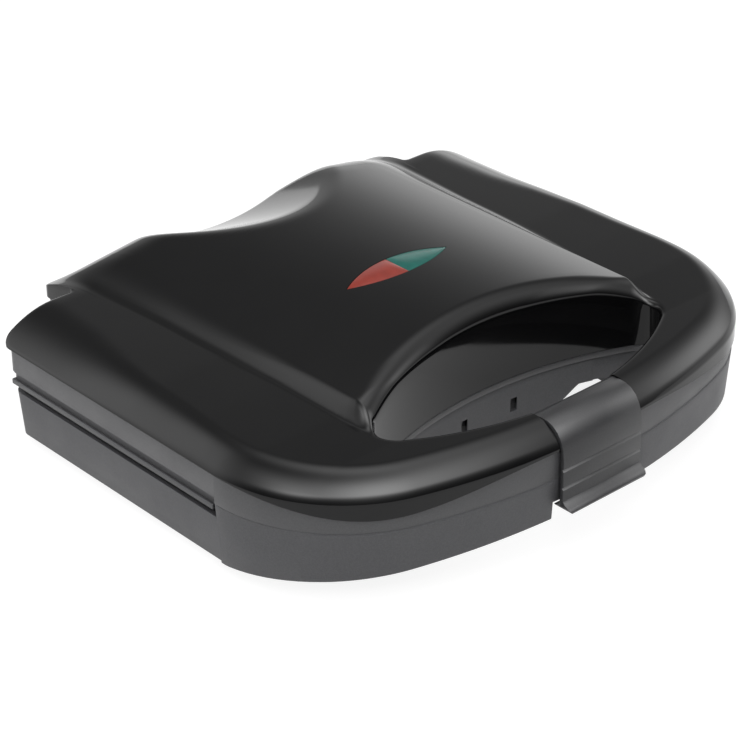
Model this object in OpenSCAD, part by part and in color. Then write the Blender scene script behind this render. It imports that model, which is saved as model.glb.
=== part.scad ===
// Two-slice sandwich toaster with triangular pockets, closed and latched.
// Everything is drawn round the middle of the cooking plates, with the handle toward -Y, and then
// moved by plan_shift so that the origin is under the middle of the whole toaster.

/* [Housing] */
// Half width of the housing at the seam
half_width = 120; // [100:1:150]
// Radius of the two front corners in plan
corner_radius = 61; // [45:1:75]
// Radius of the bowed front in plan
bow_radius = 253; // [200:1:400]
// Distance from the middle of the plates to the bowed front
front_reach = 117.5; // [100:0.5:140]
// Distance from the middle of the plates to the rear edge of the wings
wing_reach = 78; // [70:0.5:95]
// Half width of the raised hinge part at the rear
ear_half_width = 86; // [60:0.5:95]
// Distance from the middle of the plates to the rear edge of the hinge part
ear_reach = 101.5; // [90:0.5:125]
// Wall thickness of the lower housing
wall = 2.4; // [1.6:0.1:4]
// Inward draft of the lower housing from the seam to the bottom
draft = 2; // [0:0.1:6]

/* [Heights] */
// Height of the rubber feet
foot_height = 4; // [2:0.5:10]
// Height of the seam at the front
seam_z = 29.4; // [26:0.1:34]
// Height where the vertical edge of the cover starts to round over
edge_z = 43; // [38:0.1:48]
// Height of the flat wings
wing_z = 53; // [50:0.1:58]
// Height of the raised centre
crown_z = 67.3; // [60:0.1:80]

/* [Cover] */
// Wall thickness of the cover
cover_wall = 2.2; // [1.4:0.1:3]
// How far the cover stands out past the skirt
cover_overhang = 1.2; // [0.6:0.1:2.5]
// How far the side faces are set back behind the front corners
side_relief = 0.8; // [0:0.1:2]
// Half width of the finger scoop at the rear
scoop_half_width = 38; // [20:1:60]
// Half width where the raised centre bends down to the wings
crown_half_width = 69; // [55:1:80]

/* [Finger hole] */
// Radius of the rear wall of the finger hole in plan
hole_rear_radius = 160; // [120:1:250]
// Radius of the handle side of the finger hole in plan
hole_front_radius = 126; // [100:1:200]
// Radius of the two ends of the finger hole
hole_end_radius = 8; // [4:0.5:14]

/* [Cooking plates] */
// Depth of the triangular pockets
pocket_depth = 10; // [6:0.5:12]
// Metal thickness of the plates
plate_wall = 2; // [1.5:0.1:3]
// Width of the ridges between the pockets
ridge = 8; // [5:0.5:12]
// Radius of the pocket corners
pocket_round = 9; // [5:0.5:14]
// Gap between the closed plates
plate_gap = 0.3; // [0.2:0.1:1]
// Radius of the heating elements
element_radius = 3; // [2:0.1:3.5]

/* [Hinge and latch] */
// Distance from the middle of the plates back to the hinge axis
hinge_y = 92; // [85:0.5:96]
// Radius of the hinge pins
hinge_pin_radius = 2; // [1.5:0.1:3]
// Running clearance of the hinge pins in the lugs
pin_clearance = 0.05; // [0.02:0.01:0.1]
// Half width of the latch
latch_half_width = 20; // [12:0.5:30]
// Radius of the latch pin
latch_pin_radius = 1.4; // [1:0.1:1.8]
// Height of the latch pin
latch_pin_z = 46.5; // [44:0.1:48]
// Gap between the latch hook and the ledge it catches
hook_gap = 0.3; // [0.2:0.1:1]

/* [Cord inlet] */
// Radius of the cord bore in the inlet grommet
inlet_radius = 3.5; // [2.5:0.1:4.5]
// Height of the cord inlet
inlet_z = 15; // [12:0.5:18]

/* [Screws] */
// Core radius of the plate screws
screw_radius = 1.6; // [1.2:0.1:2]
// Head radius of the plate screws
head_radius = 3; // [2.5:0.1:3.3]
// Core radius of the cover screws
lid_screw_radius = 1.4; // [1.2:0.1:1.5]
// Half distance between the plate screws across the toaster
screw_x = 109; // [100:0.5:110]

/* [Hidden] */
$fn = 64;
lip_reach = front_reach + 5.6;
plan_shift = (lip_reach - ear_reach) / 2;
front_y = -front_reach;
corner_x = half_width - corner_radius;
corner_y = front_y + bow_radius - sqrt(pow(bow_radius - corner_radius, 2) - pow(corner_x, 2));
bow_angle = atan2(corner_x, front_y + bow_radius - corner_y);
lid_z = seam_z + 0.1;
floor_z = foot_height;
floor_top = foot_height + 2;
side_top = 23;
plate_mid = 25.55;
flange_low = 23.3;
flange_high = plate_mid - plate_gap / 2;
pocket_bottom = flange_high - pocket_depth - plate_wall;
element_z = pocket_bottom - element_radius - 0.2;
shield_top = element_z - element_radius - 0.2;
frame_side_z = 28;
deck_top = 31.9;
hinge_z = 29.5;
latch_y = -front_reach + 12.1;
rear_round = 6;
clamp_z = 9;
hole_front_y = 22;
hole_rear_y = -217;
// The end circles touch both arcs of the finger hole from inside.
end_far = hole_rear_radius - hole_end_radius;
end_near = hole_front_radius - hole_end_radius;
hole_span = hole_front_y - hole_rear_y;
end_y = hole_rear_y + (end_far * end_far - end_near * end_near + hole_span * hole_span) / (2 * hole_span);
end_x = sqrt(end_far * end_far - pow(end_y - hole_rear_y, 2));
end_front_angle = atan2(end_x, hole_front_y - end_y);
end_rear_angle = 180 - atan2(end_x, end_y - hole_rear_y);
dip_angle = 28.4;
// Which piece to draw

// ---- helpers ----
module place() {
    translate([0, plan_shift, 0]) children();
}

module both_sides() {
    children();
    mirror([1, 0, 0]) children();
}

module block(x0, x1, y0, y1, z0, z1) {
    translate([x0, y0, z0]) cube([x1 - x0, y1 - y0, z1 - z0]);
}

module rod_x(r, x0, x1, y, z) {
    translate([x0, y, z]) rotate([0, 90, 0]) cylinder(r = r, h = x1 - x0);
}

module rod_y(r, y0, y1, x, z) {
    translate([x, y1, z]) rotate([90, 0, 0]) cylinder(r = r, h = y1 - y0);
}

module rod_z(r, z0, z1, x, y) {
    translate([x, y, z0]) cylinder(r = r, h = z1 - z0);
}

// A [y, z] outline drawn out along X.
module side_prism(points, x0, x1) {
    translate([x0, 0, 0]) rotate([90, 0, 90]) linear_extrude(x1 - x0) polygon(points);
}

module plan_prism(points, z0, z1) {
    translate([0, 0, z0]) linear_extrude(z1 - z0) polygon(points);
}

function smooth(t) = let (c = max(0, min(1, t))) c * c * (3 - 2 * c);
function mirrored(h) = concat(h, [for (i = [len(h) - 1:-1:0]) if (h[i][0] > 0.01) [-h[i][0], h[i][1]]]);
function lift(ring, z) = [for (p = ring) [p[0], p[1], z]];
function flat(lists) = [for (l = lists, p = l) p];

// A closed skin over rings of equally many points. With loop it joins the last ring to the first.
module loft(r, loop = false) {
    n = len(r[0]);
    m = len(r);
    last = loop ? m - 1 : m - 2;
    up = [for (k = [0:last], i = [0:n - 1]) [k * n + i, (k + 1) % m * n + (i + 1) % n, k * n + (i + 1) % n]];
    over = [for (k = [0:last], i = [0:n - 1])
        [k * n + i, (k + 1) % m * n + i, (k + 1) % m * n + (i + 1) % n]];
    caps = loop ? [] : [[for (i = [0:n - 1]) i], [for (i = [n - 1:-1:0]) (m - 1) * n + i]];
    polyhedron(points = flat(r), faces = concat(up, over, caps), convexity = 6);
}

// ---- plan outlines ----
// d is the distance inward from the seam outline, so the cover uses a negative one.
function bow(d, a0, n) = [for (i = [0:n]) let (a = a0 + (bow_angle - a0) * i / n)
    [(bow_radius - d) * sin(a), front_y + bow_radius - (bow_radius - d) * cos(a)]];
function corner(d, n) = [for (i = [1:n]) let (a = bow_angle + (90 - bow_angle) * i / n)
    [corner_x + (corner_radius - d) * sin(a), corner_y - (corner_radius - d) * cos(a)]];
function arc(x, y, r, a0, a1, n) = [for (i = [0:n]) let (a = a0 + (a1 - a0) * i / n)
    [x + r * cos(a), y + r * sin(a)]];

function base_outline(d) = mirrored(concat(bow(d, 0, 12), corner(d, 18),
    [[half_width - side_relief - d, corner_y + 1]],
    arc(half_width - side_relief - rear_round, wing_reach - rear_round, rear_round - d, 0, 90, 5)));

// The lid outline has the wings, the hinge part and the shallow bay at its rear.
function lid_side(d, s) = [for (y = [-30, -8, 14, 36, 56]) [half_width - d - s, y]];
function lid_rear(d, s) = concat(
    arc(half_width - s - 4, wing_reach - 4, 4 - d, 0, 90, 3),
    [[108, wing_reach - d], [98, wing_reach - d]],
    arc(ear_half_width - cover_overhang + 4, wing_reach + 4, 4 + d, 270, 180, 3),
    [[ear_half_width - cover_overhang - d, wing_reach + 11]],
    arc(ear_half_width - cover_overhang - 3.5, ear_reach - cover_overhang - 3.5, 3.5 - d, 0, 90, 3),
    [for (x = [69, 58, 46]) [x, ear_reach - cover_overhang - d]],
    [for (x = [42, 38, 34]) [x, ear_reach - cover_overhang - d - 3.5 * smooth((43 - x) / 9)]],
    [for (x = [18, 0]) [x, ear_reach - cover_overhang - d - 3.5]]);
function lid_half(d, s, a0, n) = concat(bow(d, a0, n), corner(d, 13), [[half_width - d - s, corner_y + 1]],
    lid_side(d, s), lid_rear(d, s));

// Half outline of the finger hole from the handle (t = 0) to the rear wall (t = 1), d larger all round.
function hole_point(t, d) =
    t < 0.4 ? let (a = end_front_angle * t / 0.4)
        [(hole_front_radius + d) * sin(a), hole_front_y - (hole_front_radius + d) * cos(a)]
    : t < 0.6 ? let (a = end_front_angle + (end_rear_angle - end_front_angle) * (t - 0.4) / 0.2)
        [end_x + (hole_end_radius + d) * sin(a), end_y - (hole_end_radius + d) * cos(a)]
    : let (a = end_rear_angle + (180 - end_rear_angle) * (t - 0.6) / 0.4)
        [(hole_rear_radius + d) * sin(a), hole_rear_y - (hole_rear_radius + d) * cos(a)];
function hole_outline(d) = mirrored([for (i = [0:36]) hole_point(i / 36, d)]);

// ---- shape of the cover ----
function edge_distance(x, y) =
    y > corner_y ? half_width + cover_overhang - x
    : atan2(x, front_y + bow_radius - y) < bow_angle
        ? bow_radius + cover_overhang - norm([x, y - front_y - bow_radius])
    : corner_radius + cover_overhang - norm([x - corner_x, y - corner_y]);
function hole_distance(x, y) =
    atan2(x, hole_front_y - y) < end_front_angle && y < end_y
        ? norm([x, y - hole_front_y]) - hole_front_radius
    : 180 - atan2(x, y - hole_rear_y) > end_rear_angle && y > end_y
        ? norm([x, y - hole_rear_y]) - hole_rear_radius
    : norm([x - end_x, y - end_y]) - hole_end_radius;
function edge_width(y) = lookup(y, [[-41, 12], [-20, 14], [2, 15], [23, 18], [45, 23], [69, 25]]);
function wing_height(y) = wing_z - lookup(y, [[-110, 2.3], [-85, 2], [-60, 1], [-30, 0.4], [0, 0]]);
function crease_x(y) = crown_half_width
    + lookup(y, [[-80, 3.5], [-60, 4.5], [-30, 5.7], [-9, 7], [13, 8], [36, 8.5], [54, 9.5], [75, 10.5]]);
function crown(x, y) = let (e = crown_half_width, low = crown_z - e * e / 528, c = crease_x(y), w = wing_height(y))
    x < e ? crown_z - x * x / 528 : x < c ? low - (low - w) * (x - e) / (c - e) : w;
function rim_radius(y) = lookup(y, [[-84, 2], [-76, 3], [-66, 6], [-58, 8]]);
function after_front(x, y) = let (w = wing_height(y)) w + (crown(x, y) - w) * smooth((y + 80) / 16);
function after_edge(x, y) = let (z = after_front(x, y), r = edge_width(y), d = max(0, edge_distance(x, y)))
    d < r ? z - (z - edge_z) * pow((r - d) / r, 2) : z;
function after_rear(x, y) = let (z = after_edge(x, y))
    y > 72 ? z - (z - min(z, 46)) * pow((y - 72) / 29.8, 2.2) : z;
function after_scoop(x, y) = let (z = after_rear(x, y), low = 45 + (98 - y) * 0.42,
    deep = z + (min(z, low) - z) * smooth((y - 62) / 4.5))
    z + (deep - z) * smooth((scoop_half_width + 4 - x) / 8);
function cover_height(x, y) = let (z = after_scoop(x, y), r = rim_radius(y), d = max(0, hole_distance(x, y)))
    d < r ? z - r + sqrt(r * r - pow(r - d, 2)) : z;

// Lower edge of the cover, which dips at the front corners. q is a point of the outline.
function edge_low(q) = let (a = atan2(q[0] - corner_x, corner_y - q[1]), b = atan2(q[0], front_y + bow_radius - q[1]),
    s = b < bow_angle ? (dip_angle - bow_angle) * corner_radius * PI / 180 + (bow_angle - b) * bow_radius * PI / 180
        : (dip_angle - a) * corner_radius * PI / 180)
    q[1] > corner_y ? 42.3
    : b >= bow_angle && a > dip_angle ? 42.3 - 7.3 * (1 + cos(180 * (a - dip_angle) / (90 - dip_angle))) / 2
    : 41.3 - 6.3 * (1 + cos(min(180, 180 * s / 72))) / 2;
function hole_low(y) = lookup(y, [[-86, 40], [-74, 32.2]]);

// Each line of the cover runs from a point of the outline to its partner on the finger hole.
notch_angle = asin((latch_half_width + 0.4) / (bow_radius + cover_overhang));
hole_notch = 0.4 * asin((latch_half_width + 0.4) / hole_front_radius) / end_front_angle;
line_keys = [[0, hole_notch], [4, 0.36], [10, 0.44], [18, 0.49], [24, 0.53], [28, 0.55], [34, 0.58],
    [38, 0.6], [39, 0.64], [41, 0.76], [44, 0.82], [46, 1]];
near_rings = [1.2, 4.5, 9.5, 16, 26];
scoop_rings = [3, 17, 31.5, 33.8, 36.5];
rim_rings = [8.5, 4.6, 2, 0.5, 0];
function ring_list(q, h) = let (l = norm(q - h), b = q[1] > 90 ? smooth((46 - q[0]) / 8) : 0,
    k = min(1, 0.45 * l / 26), j = min(1, 0.4 * l / 8.5),
    first = [for (i = [0:4]) k * near_rings[i] + b * (scoop_rings[i] - near_rings[i])],
    final = [for (e = rim_rings) l - j * e])
    [for (v = concat(first, [for (i = [1:3]) first[4] + (final[0] - first[4]) * i / 4], final)) v / l];
function cover_line(q, h, t) = concat([[q[0], q[1], edge_low(q)], [q[0], q[1], cover_height(q[0], q[1]) - t]],
    [for (u = ring_list(q, h)) let (p = q + (h - q) * u) [p[0], p[1], cover_height(p[0], p[1]) - t]],
    [[h[0], h[1], hole_low(h[1])]]);
function cover_half(d, e, t) = let (o = lid_half(d, 0, notch_angle, 4), n = len(o) - 1)
    [for (i = [0:n]) cover_line(o[i], hole_point(lookup(i, line_keys), e), t)];
function both_halves(h) = concat(h,
    [for (i = [len(h) - 2:-1:0]) [for (p = h[i]) [-p[0], p[1], p[2]]]]);

module cover_skin() {
    outer = both_halves(cover_half(-cover_overhang, 0, 0));
    inner = both_halves(cover_half(cover_wall - cover_overhang, cover_wall, cover_wall));
    n = len(outer);
    m = len(outer[0]);
    // One closed loop of points per line: along the outer skin and back along the inner skin.
    loops = [for (i = [0:n - 1]) concat(outer[i], [for (k = [m - 1:-1:0]) inner[i][k]])];
    w = 2 * m;
    side = [for (i = [0:n - 2], k = [0:w - 1]) [i * w + k, i * w + (k + 1) % w, (i + 1) * w + k]];
    rest = [for (i = [0:n - 2], k = [0:w - 1]) [(i + 1) * w + k, i * w + (k + 1) % w, (i + 1) * w + (k + 1) % w]];
    start = [for (k = [0:m - 2]) [k, w - 1 - k, w - 2 - k, k + 1]];
    z = (n - 1) * w;
    end = [for (k = [0:m - 2]) [z + k, z + k + 1, z + w - 2 - k, z + w - 1 - k]];
    polyhedron(points = flat(loops), faces = concat(side, rest, start, end), convexity = 8);
}

// A boss that widens toward the cover.
module cover_boss(x, y) {
    top = min([for (a = [0:45:315]) cover_height(x + 4.2 * cos(a), y + 4.2 * sin(a))]) - 0.8;
    hull() {
        translate([x, y, deck_top + 0.1]) cylinder(r = 3.4, h = 1, $fn = 14);
        translate([x, y, top - 1]) cylinder(r = 4.2, h = 1, $fn = 14);
    }
}

boss_places = [[47, -103.2], [95, -70], [55, 88]];

module lid_cover() {
    color("#0d0d0f") place() difference() {
        union() {
            cover_skin();
            both_sides() {
                for (b = boss_places) cover_boss(b[0], b[1]);
                hull() {
                    block(30, 58, -52.5, -51, 52, 60);
                    block(30, 58, -52.5, -51, 40, 42);
                }
                hull() {
                    block(84, 85.2, 20, 60, 50, 51.4);
                    block(84, 85.2, 24, 56, 47, 48);
                }
            }
        }
        both_sides() for (b = boss_places) rod_z(lid_screw_radius + 0.05, 25, 44, b[0], b[1], $fn = 14);
        plan_prism(lens_leaf(0.15, -1), 50, 80);
        plan_prism(lens_leaf(0.15, 1), 50, 80);
    }
}

// ---- lid frame ----
module skirt() {
    // Only the sides carry the set-back drip band.
    half = lid_half(0, side_relief, 0, 8);
    band = lid_half(1, side_relief, 0, 8);
    tongue = lid_half(1.5, 0, 0, 8);
    inner = lid_half(3.6, 0, 0, 8);
    function on_side(p) = p[1] > corner_y && p[1] < wing_reach + 3;
    function bottom(p) = p[1] > wing_reach ? hinge_z + 0.25 : on_side(p) ? frame_side_z : lid_z;
    function full(h) = mirrored(h);
    low = [for (i = [0:len(half) - 1]) on_side(half[i]) ? band[i] : half[i]];
    zs = [for (p = half) bottom(p)];
    function spread(h, z) = concat([for (i = [0:len(h) - 1]) [h[i][0], h[i][1], z[i]]],
        [for (i = [len(h) - 2:-1:1]) [-h[i][0], h[i][1], z[i]]]);
    step = [for (p = half) on_side(p) ? 31.2 : bottom(p) + 0.6];
    step2 = [for (p = half) on_side(p) ? 31.3 : bottom(p) + 1.2];
    lip = [for (p = half) edge_low(p) - 0.3];
    top = [for (p = half) 42.2];
    loft([spread(low, zs), spread(low, step), spread(half, step2), spread(half, lip), spread(tongue, lip),
        spread(tongue, top), spread(inner, top), spread(inner, zs)], loop = true);
}

module hole_wall() {
    function hw(d, z) = concat([for (i = [0:36]) let (p = hole_point(i / 36, d), q = hole_point(i / 36, 0))
            [p[0], p[1], z > 0 ? z : hole_low(q[1]) - 0.3]],
        [for (i = [35:-1:1]) let (p = hole_point(i / 36, d), q = hole_point(i / 36, 0))
            [-p[0], p[1], z > 0 ? z : hole_low(q[1]) - 0.3]]);
    loft([hw(2.2, lid_z), hw(2.2, 0), hw(0, 0), hw(0, lid_z)], loop = true);
}

module deck() {
    difference() {
        plan_prism(mirrored(lid_half(2.4, 0, 0, 8)), lid_z + 0.2, deck_top);
        plan_prism(hole_outline(1), 20, 40);
        block(-114.5, 114.5, -45, 74.5, 20, 40);
        for (x = [-68:17:68]) hull() {
            rod_z(1.5, 20, 40, x - 5, 81.5, $fn = 8);
            rod_z(1.5, 20, 40, x + 5, 81.5, $fn = 8);
        }
    }
}

module lid_frame() {
    color("#202022") place() difference() {
        union() {
            skirt();
            hole_wall();
            deck();
            // seat for the plate flange
            difference() {
                block(-117.2, 117.2, -46.6, 75.6, 28.1, 30.5);
                block(-114.5, 114.5, -45, 74.5, 20, 40);
            }
            both_sides() {
                // brackets over the studs of the upper plate
                for (y = [-39, 69]) {
                    block(screw_x - 5.5, 117, y - 5, y + 5, 36, 38.4);
                    block(114.7, 117, y - 5, y + 5, 30, 38.4);
                }
                block(26, 28, -112, -102.5, 31, 39);
                block(66, 68, -104.5, -87.5, 31, 38);
                block(75, 112, -62, -60, 31, 40);
            }
        }
        both_sides() {
            // room for the hinge brackets, the plate screws and the cover screws
            rod_x(6.3, 76.8, 90, hinge_y, hinge_z, $fn = 32);
            block(76.9, 81.5, 83.7, 95.9, 20, 41);
            rod_z(1.55, 20, 40, 69, 89.8, $fn = 16);
            for (y = [-39, 69]) rod_z(screw_radius + 0.1, 30, 45, screw_x, y, $fn = 16);
            for (b = boss_places) {
                rod_z(1.6, 20, 40, b[0], b[1], $fn = 16);
                rod_z(2.9, 20, deck_top - 0.9, b[0], b[1], $fn = 16);
            }
        }
    }
}

// Brackets in the rear corners of the frame, each with a knuckle on the hinge pin.
module hinge_brackets() {
    color("#202022") place() both_sides() difference() {
        union() {
            rod_x(6, 77.2, ear_half_width + 0.2, hinge_y, hinge_z);
            block(77.2, 81.2, 84, 95.6, hinge_z, 40);
            block(64, 80, 84, 95.6, deck_top + 0.1, deck_top + 2.6);
        }
        rod_x(hinge_pin_radius, 70, 100, hinge_y, hinge_z);
        rod_z(1.5, 25, 50, 69, 89.8);
    }
}

module bracket_screws() {
    color("#b5b5b5") place() both_sides() {
        rod_z(1.5, lid_z + 0.3, deck_top + 2.6, 69, 89.8);
        difference() {
            rod_z(2.8, deck_top + 2.6, deck_top + 4.2, 69, 89.8);
            block(67.1, 70.9, 89.4, 90.2, deck_top + 3.5, 50);
        }
    }
}

// Saddle under the latch, with the lug that carries its pin.
module latch_mount() {
    color("#202022") place() difference() {
        union() {
            side_prism([[-112.7, deck_top + 0.1], [-106.5, deck_top + 0.1], [-106.5, 40], [-104.6, 41.3],
                [-104.6, 41.6], [-109.8, 41.8], [-110.6, 44.6], [-112.7, 43.6]],
                -latch_half_width + 0.2, latch_half_width - 0.2);
            block(-7.6, 7.6, latch_y - 2, latch_y + 2, 41, latch_pin_z);
            rod_x(2.7, -7.6, 7.6, latch_y, latch_pin_z);
        }
        rod_x(latch_pin_radius, -30, 30, latch_y, latch_pin_z);
        for (x = [-12, 12]) rod_z(1.2, 30, 40, x, -110);
    }
}

// ---- lower housing ----
module base_solid() {
    loft([lift(base_outline(draft), floor_z), lift(base_outline(0), seam_z)]);
}

module base_inside(bottom, top) {
    loft([lift(base_outline(draft + wall), bottom), lift(base_outline(wall), top)]);
}

module under_slope(t) {
    // The underside rises toward the front.
    side_prism([[-50 + t, -20], [-50 + t, floor_z + t], [-140, floor_z + t + 0.127 * 90], [-140, -20]], -140, 140);
}

module under_tunnel(t) {
    // Behind the finger hole the underside rises steeply, so that fingers reach in from below.
    side_prism([[-28 + t, -20], [-28 + t, floor_z - 0.02 + t * 0.6], [-57, 19.5 + t], [-140, 19.5 + t], [-140, -20]],
        -74 - t, 74 + t);
}

module hinge_lug() {
    rod_x(8, 87.2, 95, hinge_y, hinge_z);
    side_prism([[76.5, floor_z], [99.5, floor_z], [99.5, hinge_z], [84.5, hinge_z], [84.5, 25], [76.5, 21]], 87.2, 95);
}

module base_shell() {
    color("#1b1b1c") place() difference() {
        union() {
            difference() {
                base_solid();
                intersection() {
                    base_inside(floor_top, seam_z + 5);
                    difference() {
                        block(-140, 140, -47, 100, 0, 60);
                        under_tunnel(2.4);
                    }
                }
                intersection() {
                    base_inside(0, seam_z - 2.4);
                    difference() {
                        block(-140, 140, -140, -50.4, 0, 27);
                        plan_prism(hole_outline(3.4), -10, 60);
                    }
                }
                // side relief, filled by the plate flanges
                both_sides() side_prism([[-47.4, side_top], [-47.4, 40], [100, 40], [100, side_top]], 110, 140);
                block(-73.6, 73.6, 60, 87, floor_top, 60);
                block(-140, 140, 70, 100, side_top, 60);
            }
            difference() {
                block(-76, 76, 74, 89.5, floor_z, 29.2);
                block(-73.6, 73.6, 60, 87, floor_top, 60);
            }
            both_sides() {
                hinge_lug();
                for (y = [-39, 69]) rod_z(5, floor_z + 0.5, 17, screw_x, y);
                block(80, 82, -101, -50, 14, 28);
                block(40, 42, -110.5, -97.5, 14, 28);
                block(98, 100, -89, -50, 14, 28);
            }
            // carrier for the cord clamp
            both_sides() block(6.2, 9, 71, 79, 5, clamp_z);
        }
        block(-80, 80, 60, 77.3, side_top, 60);
        plan_prism(hole_outline(1), -10, 60);
        under_slope(0);
        under_tunnel(0);
        // slots in the lower edge of the wall behind the finger hole
        for (x = [-42, -14, 14, 42]) block(x - 3, x + 3, -75, -53, 10, 23.5);
        // ledge for the latch hook
        side_prism([[-135, -1], [-112, -1], [-112, 18], [-115.3, 18], [-135, 27.85]], -21.5, 21.5);
        both_sides() {
            rod_x(hinge_pin_radius + pin_clearance, 80, 100, hinge_y, hinge_z);
            for (y = [-39, 69]) {
                rod_z(screw_radius + 0.15, 0, 20, screw_x, y);
                rod_z(head_radius + 0.3, 0, 8, screw_x, y);
            }
            for (y = [-38, 62]) rod_z(2.5, 0, 10, 94, y);
        }
        // vents
        for (x = [-60:12:60]) {
            block(x - 1.5, x + 1.5, -8, 22, 0, 8);
            block(x - 1.5, x + 1.5, 32, 62, 0, 8);
        }
        rod_y(5, 80, 95, 0, inlet_z);
        for (x = [-7.6, 7.6]) rod_z(1.2, 6.2, 20, x, 75);
    }
}

module rubber_feet() {
    color("#111111") place() both_sides() for (y = [-38, 62]) {
        translate([94, y, 0]) cylinder(r1 = 6.2, r2 = 6.8, h = floor_z);
        rod_z(2.3, floor_z - 1, floor_top + 1, 94, y);
        translate([94, y, floor_top]) cylinder(r1 = 3.2, r2 = 2, h = 1.4);
    }
}

// ---- cooking plates ----
// Triangles with rounded corners, for the pockets.
function side_length(a, b) = norm(b - a);
function incentre(t) = let (a = side_length(t[1], t[2]), b = side_length(t[2], t[0]), c = side_length(t[0], t[1]))
    (a * t[0] + b * t[1] + c * t[2]) / (a + b + c);
function inradius(t) = let (a = side_length(t[1], t[2]), b = side_length(t[2], t[0]), c = side_length(t[0], t[1]),
    s = (a + b + c) / 2) sqrt((s - a) * (s - b) * (s - c) / s);
function heading(a, b) = atan2(b[1] - a[1], b[0] - a[0]) - 90;
// Triangle t (corners counter-clockwise) shrunk by d, with corners of radius r.
function soft_triangle(t, d, r) = let (c = incentre(t), k = (inradius(t) - d - r) / inradius(t),
    v = [for (p = t) c + (p - c) * k])
    [for (j = [0:2], i = [0:6]) let (h0 = heading(v[(j + 2) % 3], v[j]), h1 = heading(v[j], v[(j + 1) % 3]),
        turn = (h1 - h0 + 720) % 360, a = h0 + turn * i / 6) [v[j][0] + r * cos(a), v[j][1] + r * sin(a)]];
pocket_a = [[7, -36], [104, -36], [104, 66]];
pocket_b = [[7, -36], [104, 66], [7, 66]];

module pocket(t, top, bottom, d) {
    loft([lift(soft_triangle(t, ridge / 2 + d + 6, pocket_round - 3), bottom),
        lift(soft_triangle(t, ridge / 2 + d, pocket_round), top)]);
}

module plate_half() {
    difference() {
        union() {
            block(-117, 117, -46, 76, flange_low, flange_high);
            block(-half_width - cover_overhang, half_width + cover_overhang, -40, 77, flange_low, flange_high);
            both_sides() {
                pocket(pocket_a, flange_low + 1, pocket_bottom, -plate_wall);
                pocket(pocket_b, flange_low + 1, pocket_bottom, -plate_wall);
                for (y = [-39, 69]) rod_z(4, flange_low - 6.2, flange_low + 1, screw_x, y);
            }
        }
        both_sides() {
            pocket(pocket_a, flange_high + 0.01, flange_high - pocket_depth, 0);
            pocket(pocket_b, flange_high + 0.01, flange_high - pocket_depth, 0);
            for (y = [-39, 69]) rod_z(screw_radius, 10, flange_low + 0.6, screw_x, y);
            for (y = [-46, 76]) translate([117, y, 0]) rotate([0, 0, 45]) cube([5, 5, 80], center = true);
        }
    }
}

module lower_plate() {
    color("#3a3a3c") place() plate_half();
}

module flip() {
    translate([0, 0, 2 * plate_mid]) mirror([0, 0, 1]) children();
}

module upper_plate() {
    color("#3a3a3c") place() flip() plate_half();
}

module quarter_tube(x, y, z, r, a) {
    translate([x, y, z]) rotate([0, 0, a]) rotate_extrude(angle = 90) translate([r, 0]) circle(r = element_radius);
}

module element(z) {
    both_sides() {
        rod_x(element_radius, 0, 72, -18, z);
        quarter_tube(72, -6, z, 12, 270);
        rod_y(element_radius, -6, 44, 84, z);
        quarter_tube(72, 44, z, 12, 0);
        rod_x(element_radius, 26, 72, 56, z);
        quarter_tube(26, 64, z, 8, 180);
        rod_y(element_radius, 64, 70, 18, z);
        rod_y(1.2, 69, 76, 18, z);
    }
}

module lower_element() {
    color("#8c8c8e") place() element(element_z);
}

module upper_element() {
    color("#8c8c8e") place() flip() element(element_z);
}

module shield() {
    block(-88, 88, -23, 64, shield_top - 0.7, shield_top);
    block(-88, 88, -23, -22.3, shield_top - 0.2, shield_top + 2);
    both_sides() block(87.3, 88, -23, 64, shield_top - 0.2, shield_top + 2);
}

module lower_heat_shield() {
    color("#a8a8aa") place() shield();
}

module upper_heat_shield() {
    color("#a8a8aa") place() flip() shield();
}

module plate_screw(x, y) {
    rod_z(screw_radius, 7.9, flange_low - 0.2, x, y);
    difference() {
        translate([x, y, 6]) cylinder(r1 = head_radius - 0.4, r2 = head_radius, h = 2);
        block(x - 2, x + 2, y - 0.4, y + 0.4, 5, 7);
        block(x - 0.4, x + 0.4, y - 2, y + 2, 5, 7);
    }
}

module lower_plate_screws() {
    color("#b5b5b5") place() both_sides() for (y = [-39, 69]) plate_screw(screw_x, y);
}

module upper_plate_screws() {
    color("#b5b5b5") place() both_sides() for (y = [-39, 69]) {
        rod_z(screw_radius, 2 * plate_mid - flange_low + 0.2, 38.5, screw_x, y);
        difference() {
            translate([screw_x, y, 38.4]) cylinder(r1 = head_radius, r2 = head_radius - 0.5, h = 1.8);
            block(screw_x - 2, screw_x + 2, y - 0.4, y + 0.4, 39.3, 42);
            block(screw_x - 0.4, screw_x + 0.4, y - 2, y + 2, 39.3, 42);
        }
    }
}

module lid_screws() {
    color("#b5b5b5") place() both_sides() for (b = boss_places) {
        rod_z(lid_screw_radius, deck_top - 1, 42, b[0], b[1]);
        difference() {
            rod_z(2.6, deck_top - 2.1, deck_top - 0.9, b[0], b[1]);
            block(b[0] - 1.8, b[0] + 1.8, b[1] - 0.35, b[1] + 0.35, 20, deck_top - 1.6);
        }
    }
}

// ---- electrical parts ----
module terminal_block() {
    color("#d8d6cf") place() difference() {
        block(20, 50, 79, 85, floor_top, floor_top + 9);
        for (x = [25, 35, 45]) {
            rod_y(1.3, 70, 90, x, floor_top + 4);
            rod_z(1.5, floor_top + 6, 30, x, 82);
        }
    }
}

module thermal_fuse() {
    color("#c9b27a") place() {
        rod_x(2.4, -52, -34, 82, floor_top + 2.5);
        rod_x(0.6, -58, -28, 82, floor_top + 2.5);
        block(-48, -38, 79, 85, floor_top, floor_top + 1);
    }
}

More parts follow.
